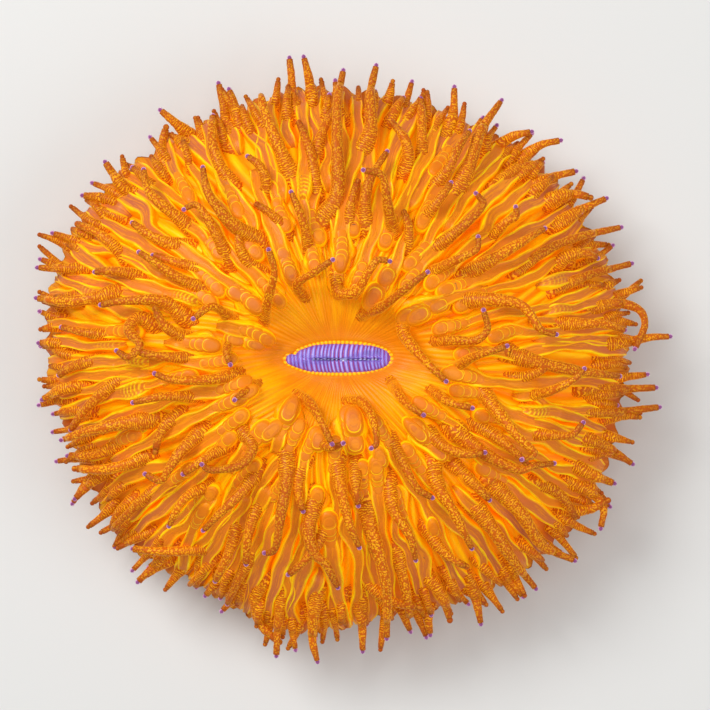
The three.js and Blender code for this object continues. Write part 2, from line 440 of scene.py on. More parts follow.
def makeTentacleFlesh():
    # skin = share along, relief, ball with its painted shade; fold = mm along, tone, painted rim light on
    # the flanks; unrolled = place on a straight stem
    material, bench, shader = newFlesh("tentacleFlesh", roughness=0.5, coat=0.06, paintedGlow=0.17)
    along, relief, ball = bench.split("skin")
    length, tone, paintedRimLight = bench.split("fold")
    nearRoot = bench.math("SUBTRACT", 1.0, bench.step(length, 1.2, 5.0))
    beads = bench.place(granulesGroup, Place=bench.skinVector("unrolled"), Relief=relief, Ribbing=nearRoot,
                        Density=5.4)["Mask"]
    colour = bench.mix(bench.step(beads, 0.25, 0.85), tentacleLook["between"], tentacleLook["granule"])
    colour = bench.place(mottleGroup, Colour=colour, Patch=tentacleLook["patch"],
                         **{"Patch Size": 700.0, "Amount": 0.3})["Colour"]
    colour = bench.mix(bench.math("MULTIPLY", tone, 0.62), colour, tentacleLook["dull"])
    dark = bench.mix(bench.step(beads, 0.25, 0.8), tentacleLook["root"], tentacleLook["rootRib"])
    colour = bench.mix(bench.math("MULTIPLY", nearRoot, 0.75), colour, dark)
    # painted rim light: stem flanks that face sideways rather than up are drawn brighter yellow
    side = bench.math("MULTIPLY", bench.step(paintedRimLight, 0.5, 0.9), 0.8)
    colour = bench.mix(side, colour, tentacleLook["paintedRimLight"])
    nearTip = bench.step(along, 0.75, 1.0)
    colour = bench.mix(bench.math("MULTIPLY", nearTip, 0.5), colour, tentacleLook["tip"])
    # painted shade on the tip ball: darker where it faces up and ahead, paler at its sides
    ballShading = bench.mix(bench.step(ball, 0.55, 0.85), tentacleLook["ball"], tentacleLook["ballShade"])
    colour = bench.mix(bench.step(ball, 0.02, 0.2), colour, ballShading)
    height = bench.place(grainGroup, Fold=beads, **{"Grain Size": 5000.0})["Height"]
    finishFlesh(bench, shader, colour, height, 0.00008)
    return material


ridgeLook = {
    "top": linear(222, 124, 16),
    "topPatch": linear(242, 150, 10),
    "mauve": linear(172, 86, 72),
    "rimLine": linear(255, 212, 10),
    "slope": linear(255, 160, 0),
    "slopeLine": linear(255, 206, 6),
    "foot": linear(246, 148, 0),
    "dash": linear(96, 40, 60),
}


def makeRidgeFlesh():
    # skin = across from -1 to 1, mm along, 0; fold = crescent, mauve, chance
    material, bench, shader = newFlesh("ridgeFlesh", roughness=0.42, coat=0.1, paintedGlow=0.17)
    across, length, _ = bench.split("skin")
    crescent, mauve, chance = bench.split("fold")
    edge = bench.math("ABSOLUTE", across)
    place = bench.combine(bench.math("MULTIPLY", across, 0.8), bench.math("MULTIPLY", length, 0.16),
                          bench.math("MULTIPLY", chance, 40.0))
    streaks = bench.place(streaksGroup, Place=place, Density=4.0, Low=0.45, High=0.62)["Mask"]
    top = bench.mix(mauve, ridgeLook["top"], ridgeLook["mauve"])
    top = bench.mix(bench.math("MULTIPLY", streaks, 0.5), top, ridgeLook["topPatch"])
    slope = bench.mix(streaks, ridgeLook["slope"], ridgeLook["slopeLine"])
    colour = bench.mix(bench.step(edge, 0.45, 0.9), top, slope)
    outside = bench.math("SUBTRACT", 1.0, bench.step(edge, 0.85, 1.1))
    line = bench.math("MULTIPLY", bench.step(edge, 0.6, 0.8), outside)
    line = bench.math("MULTIPLY", line, bench.math("MULTIPLY_ADD", streaks, 0.5, 0.35))
    colour = bench.mix(line, colour, ridgeLook["rimLine"])
    arc = bench.math("MULTIPLY", bench.step(crescent, 0.2, 0.75), 0.95)
    colour = bench.mix(arc, colour, ridgeLook["rimLine"])
    dashPlace = bench.combine(bench.math("MULTIPLY", across, 1.3), bench.math("MULTIPLY", length, 0.55),
                              bench.math("MULTIPLY", chance, 17.0))
    dash = bench.place(streaksGroup, Place=dashPlace, Density=2.6, Low=0.7, High=0.75)["Mask"]
    dash = bench.math("MULTIPLY", dash, bench.math("SUBTRACT", 1.0, bench.step(edge, 0.3, 0.6)))
    colour = bench.mix(bench.math("MULTIPLY", dash, 0.7), colour, ridgeLook["dash"])
    foot = bench.step(edge, 1.05, 1.35)
    colour = bench.mix(bench.math("MULTIPLY", foot, 0.75), colour, ridgeLook["foot"])
    height = bench.place(grainGroup, Fold=streaks, **{"Grain Size": 3500.0})["Height"]
    finishFlesh(bench, shader, colour, height, 0.00005)
    return material


bodyLook = {
    "groove": linear(240, 132, 0),
    "bright": linear(255, 200, 0),
    "oralDisc": linear(242, 144, 0),
    "oralLine": linear(255, 180, 0),
    "oralDeep": linear(206, 106, 0),
    "margin": linear(186, 88, 14),
    "underside": linear(214, 160, 118),
    "undersideLine": linear(168, 104, 70),
    "undersidePatch": linear(196, 128, 84),
}


def makeBodyFlesh():
    # skin = cosine and sine of the spoke, share; fold = wrinkle, underside, 0
    material, bench, shader = newFlesh("bodyFlesh", roughness=0.45, coat=0.08, paintedGlow=0.17)
    east, north, share = bench.split("skin")
    wrinkle, under, _ = bench.split("fold")
    place = bench.combine(east, north, bench.math("MULTIPLY", share, 0.12))
    lines = bench.place(streaksGroup, Place=place, Density=30.0, Low=0.4, High=0.66)["Mask"]
    foldPlace = bench.combine(east, north, share)
    folds = bench.place(streaksGroup, Place=foldPlace, Density=5.0, Low=0.38, High=0.66)["Mask"]
    # wrinkle crests drawn brighter and creases darker are painted light and shade; the fine streak lines are
    # the flesh's own colour
    crestLightAndStreaks = bench.math("MULTIPLY_ADD", wrinkle, 0.6, bench.math("MULTIPLY", lines, 0.6), clamp=True)
    colour = bench.mix(crestLightAndStreaks, bodyLook["groove"], bodyLook["bright"])
    disc = bench.mix(bench.math("MULTIPLY", folds, 0.7), bodyLook["oralDisc"], bodyLook["oralLine"])
    disc = bench.mix(bench.math("MULTIPLY", lines, 0.4), disc, bodyLook["oralDeep"])
    # painted shade: darker towards the mouth, in the hollow and down the pit walls round it
    pitShade = bench.math("SUBTRACT", 0.6, bench.math("MULTIPLY", bench.step(share, 0.0, 0.12), 0.6))
    disc = bench.mix(pitShade, disc, bodyLook["oralDeep"])
    colour = bench.mix(bench.step(share, 0.08, 0.3), disc, colour)
    rimStreaks = bench.math("MULTIPLY_ADD", lines, -0.4, 0.95)
    rim = bench.math("MULTIPLY", bench.step(share, 0.8, 0.98), rimStreaks)
    colour = bench.mix(rim, colour, bodyLook["margin"])
    hidden = bench.mix(bench.step(wrinkle, 0.3, 0.7), bodyLook["undersideLine"], bodyLook["underside"])
    hidden = bench.place(mottleGroup, Colour=hidden, Patch=bodyLook["undersidePatch"],
                         **{"Patch Size": 260.0, "Amount": 0.6})["Colour"]
    colour = bench.mix(under, colour, hidden)
    relief = bench.math("MULTIPLY", lines, bench.step(share, 0.05, 0.35))
    height = bench.place(grainGroup, Fold=relief, **{"Grain Size": 3000.0})["Height"]
    finishFlesh(bench, shader, colour, height, 0.00008)
    return material


# lavender lips: the pale pleat crests and the glint are painted highlights; the red-purple grooves, darker
# edge and near-black slit are painted shade
mouthLook = {
    "pleat": linear(180, 176, 244),
    "pleatSide": linear(118, 92, 196),
    "groove": linear(140, 52, 110),
    "edge": linear(126, 56, 134),
    "slit": linear(40, 22, 70),
    "glint": linear(226, 236, 255),
}


def makeMouthFlesh():
    # skin = pleat height, share to the edge, slit with its painted shade; fold = painted glint beside the
    # slit, strength of each pleat's painted highlight, 0
    material, bench, shader = newFlesh("mouthFlesh", roughness=0.25, coat=0.5, paintedGlow=0.28)
    pleat, edge, slit = bench.split("skin")
    glint, pleatHighlightAmount, _ = bench.split("fold")
    # painted shade in the grooves between the pleats, painted highlight on their crests with a strength of
    # its own for each pleat
    colour = bench.mix(bench.step(pleat, 0.05, 0.4), mouthLook["groove"], mouthLook["pleatSide"])
    uneven = bench.math("MULTIPLY_ADD", pleatHighlightAmount, 0.7, 0.3)
    bright = bench.math("MULTIPLY", bench.step(pleat, 0.45, 1.0), uneven)
    colour = bench.mix(bright, colour, mouthLook["pleat"])
    # painted shade: the lips darken towards their outer edge
    colour = bench.mix(bench.math("MULTIPLY", bench.step(edge, 0.8, 1.0), 0.6), colour, mouthLook["edge"])
    # painted shade: the slit is drawn near black
    colour = bench.mix(slit, colour, mouthLook["slit"])
    colour = bench.mix(glint, colour, mouthLook["glint"])
    height = bench.place(grainGroup, Fold=pleat, **{"Grain Size": 6000.0})["Height"]
    finishFlesh(bench, shader, colour, height, 0.00004)
    return material


lipLook = {
    "crest": linear(255, 186, 8),
    "fold": linear(234, 136, 8),
}


def makeLipFlesh():
    # skin = scallop height, 0, 0
    material, bench, shader = newFlesh("lipFlesh", roughness=0.35, coat=0.3, paintedGlow=0.28)
    scallop, _, _ = bench.split("skin")
    colour = bench.mix(bench.step(scallop, 0.2, 0.6), lipLook["fold"], lipLook["crest"])
    height = bench.place(grainGroup, Fold=scallop, **{"Grain Size": 6000.0})["Height"]
    finishFlesh(bench, shader, colour, height, 0.00004)
    return material


tentacleFlesh = makeTentacleFlesh()
ridgeFlesh = makeRidgeFlesh()
bodyFlesh = makeBodyFlesh()
mouthFlesh = makeMouthFlesh()
lipFlesh = makeLipFlesh()
print("finishes ready")


# the body

body = {
    "spokes": 480,
    "topRings": 96,
    "wrinkles": 110,        # fine radial wrinkles round the margin
    "wrinkleDepth": 0.32,
    "costae": 140,          # ribs of the underside
    "costaDepth": 0.28,
    "pitDepth": 2.4,
    "scallops": 74,         # small lobes along the margin
    "scallop": 0.35,
}


mouth = {
    "halfLength": 4.75,
    "halfWidth": 1.36,
    "middle": (0.1, -0.1),
    "pleats": 23,
    "pleatDepth": 0.16,
    "swell": 0.55,         # how far the lips stand up
    "slitReach": (-2.2, 3.9),
    "slitOffset": -0.12,
    "lipRadius": 0.13,     # thickness of the bright edge round the opening
    "lipScallops": 56,
}


def mouthEdge(angle):
    # outline of the lips: rounded on the right, drawn out and notched on the left
    x = mouth["halfLength"] * np.sign(np.cos(angle)) * np.abs(np.cos(angle)) ** 0.92
    y = mouth["halfWidth"] * np.sign(np.sin(angle)) * np.abs(np.sin(angle)) ** 0.86
    y = y * (1 - 0.22 * smoothStep(-x, 2.0, 4.6)) - 0.1 * smoothStep(-x, 0.5, 4.0) * (1 + np.sin(angle))
    notch = 0.3 * np.exp(-((x + 3.9) / 0.22) ** 2) * (y > 0)
    return x + mouth["middle"][0], y - notch + mouth["middle"][1]


def lipRadiusAt(angle):
    x, y = mouthEdge(np.linspace(0, fullTurn, 1440, endpoint=False))
    return np.interp(angle, np.arctan2(y, x), np.hypot(x, y), period=fullTurn)


def growBody():
    rng = np.random.default_rng(4)
    spokes = body["spokes"]
    angle = np.arange(spokes) / spokes * fullTurn
    shares = np.linspace(0, 1, body["topRings"])
    rings, skin, fold = [], [], []

    def addRing(x, y, z, spoke, share, wrinkle, under):
        rings.append(np.stack([x, y, z], axis=1))
        skin.append(np.stack([np.cos(spoke), np.sin(spoke), np.full_like(x, share)], axis=1))
        fold.append(np.stack([wrinkle, np.full_like(x, under), np.zeros_like(x)], axis=1))

    phase = rng.uniform(0, fullTurn, 6)
    # pit walls that hold the mouth
    for drop, close in ((1.0, 1.0), (0.4, 1.0), (0.12, 0.97), (0.05, 0.75), (0.01, 0.4)):
        r = mouthRadius(angle) + close * (lipRadiusAt(angle) - mouthRadius(angle))
        z = np.full_like(angle, crownHeight(0.0) - drop * body["pitDepth"])
        addRing(r * np.cos(angle), r * np.sin(angle), z, angle, 0.0, np.zeros_like(angle), 0.0)
    for share in shares:
        bendy = angle + 0.05 * np.sin(3 * angle + phase[0] + 5 * share)
        bendy = bendy + 0.03 * np.sin(7 * angle + phase[1] - 9 * share)
        fine = 0.5 + 0.5 * np.sin(body["wrinkles"] * bendy + 1.2 * np.sin(9 * share + 4 * angle))
        broad = 0.5 + 0.5 * np.sin(31 * bendy + phase[2] + 2.0 * np.sin(6 * share + phase[3]))
        strength = smoothStep(np.full_like(angle, share), 0.02, 0.4)
        wrinkle = fine ** 1.5
        scallop = body["scallop"] * np.cos(body["scallops"] * bendy) * smoothStep(share, 0.85, 1.0)
        r = radiusAtShare(angle, share) + scallop
        z = crownHeight(share) - body["wrinkleDepth"] * (0.1 + 0.9 * strength) * (1 - wrinkle)
        z = z - 0.35 * strength * broad
        addRing(r * np.cos(angle), r * np.sin(angle), z, bendy, share, wrinkle, 0.0)
    # rounded margin, then the ribbed underside down to the foot
    ribs = 0.5 + 0.5 * np.cos(body["costae"] * angle)
    profile = [(1.004, 6.0, 0.0), (1.003, 5.3, 0.1), (0.998, 4.4, 0.4), (0.988, 3.5, 0.8), (0.972, 2.7, 1.0),
               (0.95, 2.1, 1.0), (0.92, 1.6, 1.0), (0.88, 1.15, 1.0), (0.82, 0.7, 1.0), (0.74, 0.35, 1.0),
               (0.66, 0.12, 1.0)]
    for share, z, under in profile:
        scallop = body["scallop"] * np.cos(body["scallops"] * bendy) * (1 - under)
        r = share * marginRadius(angle) + scallop + 0.12 * (ribs - 0.5) * under
        height = z + body["costaDepth"] * (1 - ribs) * smoothStep(np.full_like(angle, under), 0.0, 1.0)
        addRing(r * np.cos(angle), r * np.sin(angle), height, angle, 1.0, ribs, under)
    for k, r in enumerate(np.linspace(crown["footRadius"], 0.6, 26)):
        fade = smoothStep(np.full_like(angle, r), 2.6, 7.0)
        growth = 0.5 + 0.5 * math.cos(r * 2.4)
        scar = 0.45 * math.exp(-((r - 2.4) / 0.45) ** 2) + 0.25 * (1 - float(smoothStep(r, 1.8, 2.4)))
        height = 0.16 * (1 - ribs) * fade + 0.05 * growth + scar
        tone = np.clip(ribs * fade + 0.4 * (1 - fade), 0, 1)
        addRing(r * np.cos(angle), r * np.sin(angle), height, angle, 1.0, tone, 1.0)
    parts = MeshParts()
    rings = np.array(rings)
    parts.addRings(rings, [0, 0, crownHeight(0.0) - body["pitDepth"]], [0, 0, rings[-1][:, 2].mean()],
                   {"skin": np.array(skin), "fold": np.array(fold)})
    return parts.make("coralBody", bodyFlesh, "body")


growBody()
print("body grown")


# the mouth

def growMouth():
    rng = np.random.default_rng(7)
    spokes, steps = 360, 26
    angle = np.arange(spokes) / spokes * fullTurn
    rim = crownHeight(0.0) - 0.12
    rings, skin, fold = [], [], []
    edgeX, edgeY = mouthEdge(angle)
    middleX, middleY = mouth["middle"]
    pleatStarts = np.cumsum(rng.uniform(0.7, 1.3, mouth["pleats"] + 6))
    pleatStarts = (pleatStarts / pleatStarts[-1] - 0.5) * 2.3 * mouth["halfLength"]
    pleatHighlightSpots = rng.uniform(0.3, 1.0, len(pleatStarts))
    for drop, narrow in ((mouthFloor, 0.78), ((mouthFloor + rim) / 2, 0.92)):
        x, y = middleX + (edgeX - middleX) * narrow, middleY + (edgeY - middleY) * narrow
        rings.append(np.stack([x, y, np.full_like(angle, drop)], axis=1))
        skin.append(np.stack([0.2 + 0 * angle, 1 + 0 * angle, 0 * angle], axis=1))
        fold.append(np.zeros((spokes, 3)))
    for share in np.linspace(1.0, 0.04, steps):
        # rings close on a short line along the slit, so the pleats stay crosswise
        closing = 1 - 0.55 * (1 - share) ** 2
        x = middleX + (edgeX - middleX) * (share * 0.35 + 0.65 * closing * share ** 0.25)
        y = middleY + (edgeY - middleY) * share
        offset = y - middleY - mouth["slitOffset"]
        order = np.interp(x + 0.05 * offset - 0.12 * offset ** 2, pleatStarts, np.arange(len(pleatStarts)))
        pleat = 0.5 - 0.5 * np.cos(order * fullTurn)
        # each pleat gets its own strength of painted highlight
        pleatHighlightAmount = pleatHighlightSpots[np.clip(order.astype(int), 0, len(pleatHighlightSpots) - 1)]
        zigzag = 0.09 * np.cos(order * fullTurn)
        slitStart, slitEnd = mouth["slitReach"]
        within = smoothStep(x, slitStart - 0.4, slitStart + 0.3)
        within = within * (1 - smoothStep(x, slitEnd - 0.3, slitEnd + 0.2))
        near = np.exp(-((offset - zigzag) / 0.085) ** 2)
        beads = 0.35 + 0.65 * np.cos(order * fullTurn + 2.6) ** 2
        inSlit = near * within * beads
        across = np.clip(1 - ((y - middleY) / (mouth["halfWidth"] + 0.02)) ** 2, 0, 1)
        across = across * np.clip(1 - (x / 4.9) ** 4, 0, 1)
        z = rim - 0.2 + mouth["swell"] * across ** 0.6
        z = z + mouth["pleatDepth"] * pleat * np.minimum(1, 3 * across)
        z = z - 0.4 * near * within
        glint = np.exp(-((offset - zigzag - 0.1) / 0.07) ** 2) * within * (pleat > 0.75) * 0.7
        glint = np.maximum(glint, np.exp(-((x - 0.55) / 0.12) ** 2 - ((offset + 0.02) / 0.1) ** 2))
        rings.append(np.stack([x, y, z], axis=1))
        skin.append(np.stack([pleat, np.full_like(x, share), 0.85 * inSlit * (1 - glint)], axis=1))
        fold.append(np.stack([glint, pleatHighlightAmount, np.zeros_like(x)], axis=1))
    rings = np.array(rings)[:, ::-1]
    skin, fold = np.array(skin)[:, ::-1], np.array(fold)[:, ::-1]
    parts = MeshParts()
    parts.addRings(rings, [middleX, middleY, mouthFloor], rings[-1].mean(axis=0),
                   {"skin": skin, "fold": fold})
    return parts.make("mouthLips", mouthFlesh, "mouth")


def growLipEdge():
    # thin scalloped tube that hugs the opening
    spokes, around = 464, 10
    angle = np.arange(spokes) / spokes * fullTurn
    x, y = mouthEdge(angle)
    outward = np.stack([x - 0.1, 4 * (y + 0.1)], axis=1)
    outward /= np.linalg.norm(outward, axis=1, keepdims=True)
    steps = np.hypot(np.diff(x, append=x[0]), np.diff(y, append=y[0]))
    travel = np.cumsum(steps) / steps.sum() * fullTurn
    scallop = 0.5 + 0.5 * np.cos(travel * mouth["lipScallops"] + 1.3 * np.sin(3 * travel))
    lift = crownHeight(0.0) - 0.14
    points, skin = [], []
    for k in range(around + 1):
        turn = k / around * fullTurn
        thick = mouth["lipRadius"] * (0.85 + 0.25 * scallop)
        out = 0.08 + thick * math.cos(turn) * 1.3
        height = lift + thick * math.sin(turn)
        points.append(np.stack([x + outward[:, 0] * out, y + outward[:, 1] * out, height], axis=1))
        skin.append(np.stack([scallop, np.zeros(spokes), np.zeros(spokes)], axis=1))
    grid = np.arange(spokes * (around + 1)).reshape(around + 1, spokes)
    nextOne = np.roll(grid, -1, axis=1)
    faces = np.stack([grid[:-1], nextOne[:-1], nextOne[1:], grid[1:]], axis=2).reshape(-1, 4)
    mesh = bpy.data.meshes.new("lipEdge")
    mesh.from_pydata((np.vstack(points) * mm).tolist(), [], faces[:, ::-1].tolist())
    layer = mesh.attributes.new("skin", "FLOAT_VECTOR", "POINT")
    layer.data.foreach_set("vector", np.vstack(skin).astype(np.float32).ravel())
    mesh.polygons.foreach_set("use_smooth", [True] * len(mesh.polygons))
    mesh.materials.append(lipFlesh)
    piece = bpy.data.objects.new("lipEdge", mesh)
    scene.collection.objects.link(piece)
    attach(piece, "root")


growMouth()
growLipEdge()
print("mouth grown")


# tentacles

tentacle = {
    "girth": 0.81,          # radius near the root
    "tipRadius": 0.27,
    "rootSink": -0.35,      # the root's middle line starts this far below the surface
    "buried": 1.5,          # length hidden in the body
    "finestStep": 0.15,
    "boxGap": 0.5,          # stems stop this far inside the part's outer box
    "rootFlare": 0.32,      # how far the root spreads where it leaves the body
    "granuleHeight": 0.1,
    "ballRadius": 0.22,
    "sides": 32,
}

# height of the tip above the body, then the route in plan from root to tip
routes = [
    # around the mouth
    [3.0, [-3, 5.5], [-3.5, 6.5], [-2, 7.5], [-0.5, 8.5]],
    [3.6, [-6.5, 3.5], [-6, 5.5], [-5.5, 7.5], [-6, 9.5]],
    [2.8, [0, 7.5], [0.2, 5.8], [1.7, 5.8], [2.5, 7], [3.5, 8.5], [4.5, 8.5]],
    [4.0, [2.5, 4], [4, 4.5], [6, 6], [8, 7.5]],
    [3.2, [6, 3.5], [6, 2], [7.5, 0], [9.5, -2]],
    [2.8, [9, 1.5], [10.5, 1.5], [12.3, 1.5], [13.3, 2.5], [13, 4]],
    [4.0, [10.5, -1], [12, 0], [13.5, 0.5], [15, 1]],
    [2.8, [5, -2.5], [6, -4], [7.5, -5]],
    [2.6, [8.5, -3], [10, -4], [12, -4.5]],
    [4.2, [13, -3], [14, -4.5], [16, -7], [17.5, -8.5], [16.5, -9]],
    [3.6, [1, -4], [2.3, -4], [3.2, -5.5], [3.5, -7.5], [3, -8]],
    [2.8, [-3.5, -3.5], [-2.5, -4], [-1.5, -5.5], [-0.5, -7.5]],
    [3.4, [-9.5, 3.5], [-11, 4.5], [-12.5, 3.5]],
    [2.6, [-9, -1.5], [-11.5, -2], [-14.5, -2], [-16, -1.5]],
    # lower left to lower right
    [2.8, [-8.5, -6.5], [-7.5, -8], [-8.5, -9.5], [-11, -10], [-12, -9.5]],
    [2.8, [-12, -6.5], [-14, -8.5], [-15, -10], [-15.7, -11], [-17, -10.5]],
    [2.8, [-7, -10], [-8.5, -12], [-10.5, -14], [-12, -15.5]],
    [2.8, [-11.5, -11.5], [-13.5, -12.5], [-14.5, -14], [-15, -15]],
    [2.8, [-4.5, -8.5], [-4.5, -11], [-5, -14], [-5.5, -17], [-6.5, -17.5]],
    [2.8, [-2, -12.5], [-2.5, -15.5], [-2, -17.5], [-1, -18.5], [0, -20.5]],
    [2.6, [0, -9], [0.3, -11.5], [1, -14.5], [2, -17]],
    [2.8, [2.6, -12.5], [2.9, -15], [3.8, -18], [4.5, -21.5], [4.5, -25.5]],
    [2.8, [4.7, -11], [5, -13.5], [6.5, -16], [7, -18]],
    [2.4, [4.8, -7.2], [5.7, -9], [7, -11.5], [8.5, -12.5]],
    [2.8, [8.5, -9.5], [9, -11.5], [10.5, -14], [12, -17]],
    [2.4, [10.5, -6.5], [13, -8.5], [16, -10], [17.5, -9.7], [19.5, -9.5]],
    [2.8, [13.5, -11], [16.5, -14], [18.5, -17], [21.5, -18.5]],
    [2.8, [12, -13], [14, -15.5], [16, -18.5], [18, -21]],
    # right
    [4.2, [17, -3.5], [19, -3], [21, -2], [22, -1]],
    [2.4, [17.3, -6.9], [19, -7], [21, -7], [22, -6]],
    [2.0, [15, 0.5], [18, -0.5], [21.5, -1.2], [25.5, -1.7]],
    [3.6, [11, 5], [14, 5.1], [16.5, 4.5], [18, 2.5], [19.5, 2]],
    [2.2, [19.2, 3], [21.5, 3], [24, 3], [26, 2.5]],
    [2.4, [23.9, 1.1], [26.5, 1.4], [28.5, 1.8], [30.5, 1.9]],
    # upper right
    [2.8, [8.5, 9.5], [11, 11.5], [13, 13.5], [12.5, 14.5]],
    [3.4, [8.3, 7.5], [10.5, 8.6], [12.3, 9.5], [12.5, 10.5]],
    [2.6, [11.2, 7.2], [14, 8.8], [16, 10], [18.5, 11.5]],
    [2.6, [13.6, 10.5], [15, 12], [16, 12.6], [16, 13.5]],
    [2.8, [8.5, 15], [10, 17], [11, 19], [12, 20.5]],
    [2.8, [10.5, 14.5], [12, 17.5], [13, 20.5], [15, 23.5]],
    [2.0, [2.5, 11.5], [2.5, 14], [3, 16], [4.5, 18.5]],
    [4.4, [5, 11], [4.5, 13.5], [4, 16], [2.5, 16.5]],
    # top
    [2.8, [-1.5, 12], [0, 14.5], [0, 19], [0, 23], [0.5, 26]],
    [2.6, [2, 18], [3, 20.5], [3, 24], [3.5, 26.5]],
    [2.4, [-2.3, 22.9], [-2.6, 25.4], [-3.1, 27.5]],
    [2.8, [-4, 16], [-5.5, 19.5], [-6.5, 22], [-7, 24]],
    [2.8, [-2.5, 9.5], [-3, 12], [-4, 14.5]],
    # upper left
    [3.6, [-7, 10.5], [-9.5, 12], [-11.4, 14.5], [-12, 17]],
    [2.6, [-9.7, 8.6], [-10.8, 11], [-12.4, 13.5], [-13.7, 13.2]],
    [2.8, [-13, 11.5], [-15.5, 13.5], [-17, 15], [-17.5, 17]],
    [2.8, [-11.7, 6], [-14, 7], [-16, 8.3], [-17.7, 9.4]],
    # left
    [2.6, [-13.6, 3.6], [-15.5, 5], [-19, 5], [-21, 4.7]],
    [2.8, [-19.4, 5.9], [-22, 5.3], [-24.7, 5], [-27.5, 5.4]],
    [2.0, [-22.5, 8.1], [-25.2, 8.1], [-27.5, 8.2]],
    [2.6, [-16.5, 3], [-17.8, 3.5], [-18.6, 2.4], [-17.5, 1.1], [-18.5, 0], [-19.5, 0.5]],
    [2.8, [-12.5, -3.5], [-15.5, -3.5], [-18, -4]],
    [2.8, [-16, -5.5], [-19.5, -6], [-22.5, -6.7], [-25, -7.5]],
    # bottom edge
    [2.2, [-1.7, -20.5], [-2.1, -23], [-2.3, -25.7], [-1.8, -28]],
]


def tentacleLine(tipRise, route, step):
    # comes up out of the body at a slant and runs on above it
    plan = smoothRoute(route, step)
    along = np.linspace(0, 1, len(plan))
    clear = tentacle["rootSink"] + (tipRise - tentacle["rootSink"]) * (1 - (1 - along) ** 2)
    outward = plan[0] - plan[3]
    outward = outward / np.linalg.norm(outward)
    back = np.array([plan[0] + outward * reach for reach in (1.5, 0.75)])
    plan = np.vstack([back, plan])
    clear = np.concatenate([[tentacle["rootSink"] - 1.7, tentacle["rootSink"] - 0.8], clear])
    x, y = plan[:, 0], plan[:, 1]
    slopeX, slopeY = bodySlope(x, y)
    z = bodyHeight(x, y) + clear * np.sqrt(1 + slopeX ** 2 + slopeY ** 2)
    return np.column_stack([x, y, z])


def granuleRelief(rows, sides, ribWeight, rng):
    # rough beads all over, gathered into short ribs across the stem near the root
    beads = rng.random((rows, sides))
    row = np.arange(rows)[:, None] % 3
    runs = np.repeat(rng.random((rows, sides // 3 + 1)), 3, axis=1)[:, :sides]
    ribs = np.where(row == 0, 0.55 + 0.45 * runs, 0.25 * runs)
    return beads + (ribs - beads) * ribWeight[:, None]


def growTentacle(parts, tipRise, route, girth, tipRadius, sides, rng, hasBall=True, tone=None):
    # root sunk in the body, tapered stem set with granules, and a small ball at the tip
    line = tentacleLine(tipRise, route, 0.2)
    pitch = max(fullTurn * girth / sides, tentacle["finestStep"])
    stem = evenly(smoothRoute(line[::2], 0.05), pitch)
    room = np.minimum(stem - boxLow, boxHigh - stem)[:, :2].min(axis=1)
    outside = np.flatnonzero(room < tentacle["boxGap"])
    if len(outside):
        stem = stem[:outside[0]]
    forward, side, over = sweepFrames(stem)
    count = len(stem)
    distance = np.arange(count) * pitch
    past = np.maximum(distance - tentacle["buried"], 0)
    along = past / past[-1]
    swell = 1 + 0.05 * np.sin(distance * 1.7 + rng.uniform(0, 6))
    swell = swell + 0.03 * np.sin(distance * 4.1 + rng.uniform(0, 6))
    radius = (girth + (tipRadius - girth) * along ** 0.75) * swell
    radius = radius * (1 + tentacle["rootFlare"] * np.exp(-(past / 2.4) ** 2))
    turn = np.arange(sides) / sides * fullTurn
    relief = granuleRelief(count, sides, 0.8 * np.exp(-(past / 2.6) ** 2), rng)
    bead = tentacle["granuleHeight"] * np.minimum(1, radius / 0.7)[:, None] * (relief - 0.5)
    reach = radius[:, None] + bead
    ring = (stem[:, None, :] + side[:, None, :] * (reach * np.cos(turn))[:, :, None]
            + over[:, None, :] * (reach * np.sin(turn))[:, :, None])
    tone = rng.uniform(0, 0.6) if tone is None else tone
    spin = rng.uniform(0, 50)
    lean = side[:, 2:3] * np.cos(turn) + over[:, 2:3] * np.sin(turn)
    skin = np.stack([np.repeat(along[:, None], sides, 1), relief, np.zeros_like(relief)], axis=2)
    tones = np.full_like(relief, tone)
    # the third fold value carries the painted rim light: 1 where the surface faces sideways, 0 where it
    # faces up or down
    fold = np.stack([np.repeat(past[:, None], sides, 1), tones, 1 - np.abs(lean)], axis=2)
    unrolled = np.stack([radius[:, None] * np.cos(turn), radius[:, None] * np.sin(turn),
                         np.repeat(distance[:, None] + spin, sides, 1)], axis=2)
    end, ahead = stem[-1], forward[-1]
    ball = tentacle["ballRadius"] if hasBall else 0.92 * tipRadius
    capRings, capSkin = [], []
    for tilt in np.linspace(-0.95, 1.3, 7):
        spot = end + ahead * (ball * (0.8 + math.sin(tilt)))
        outward = side[-1] * np.cos(turn)[:, None] + over[-1] * np.sin(turn)[:, None]
        capRings.append(spot + outward * ball * math.cos(tilt))
        facing = outward * math.cos(tilt) + ahead * math.sin(tilt)
        # painted shade: the ball's middle, facing up and ahead, is marked darker than its sides
        ballShading = smoothStep(np.maximum(facing[:, 2], facing @ ahead - 0.15), 0.45, 0.85)
        shade = 0.3 + 0.7 * ballShading if hasBall else np.zeros(sides)
        capSkin.append(np.stack([np.ones(sides), np.full(sides, 0.4), shade], axis=1))
    capCount = len(capRings)
    parts.addRings(np.concatenate([ring, np.array(capRings)]), stem[0], end + ahead * ball * 1.8,
                   {"skin": np.concatenate([skin, np.array(capSkin)]),
                    "fold": np.concatenate([fold, np.repeat(fold[-1:], capCount, 0)]),
                    "unrolled": np.concatenate([unrolled, np.repeat(unrolled[-1:], capCount, 0)])})


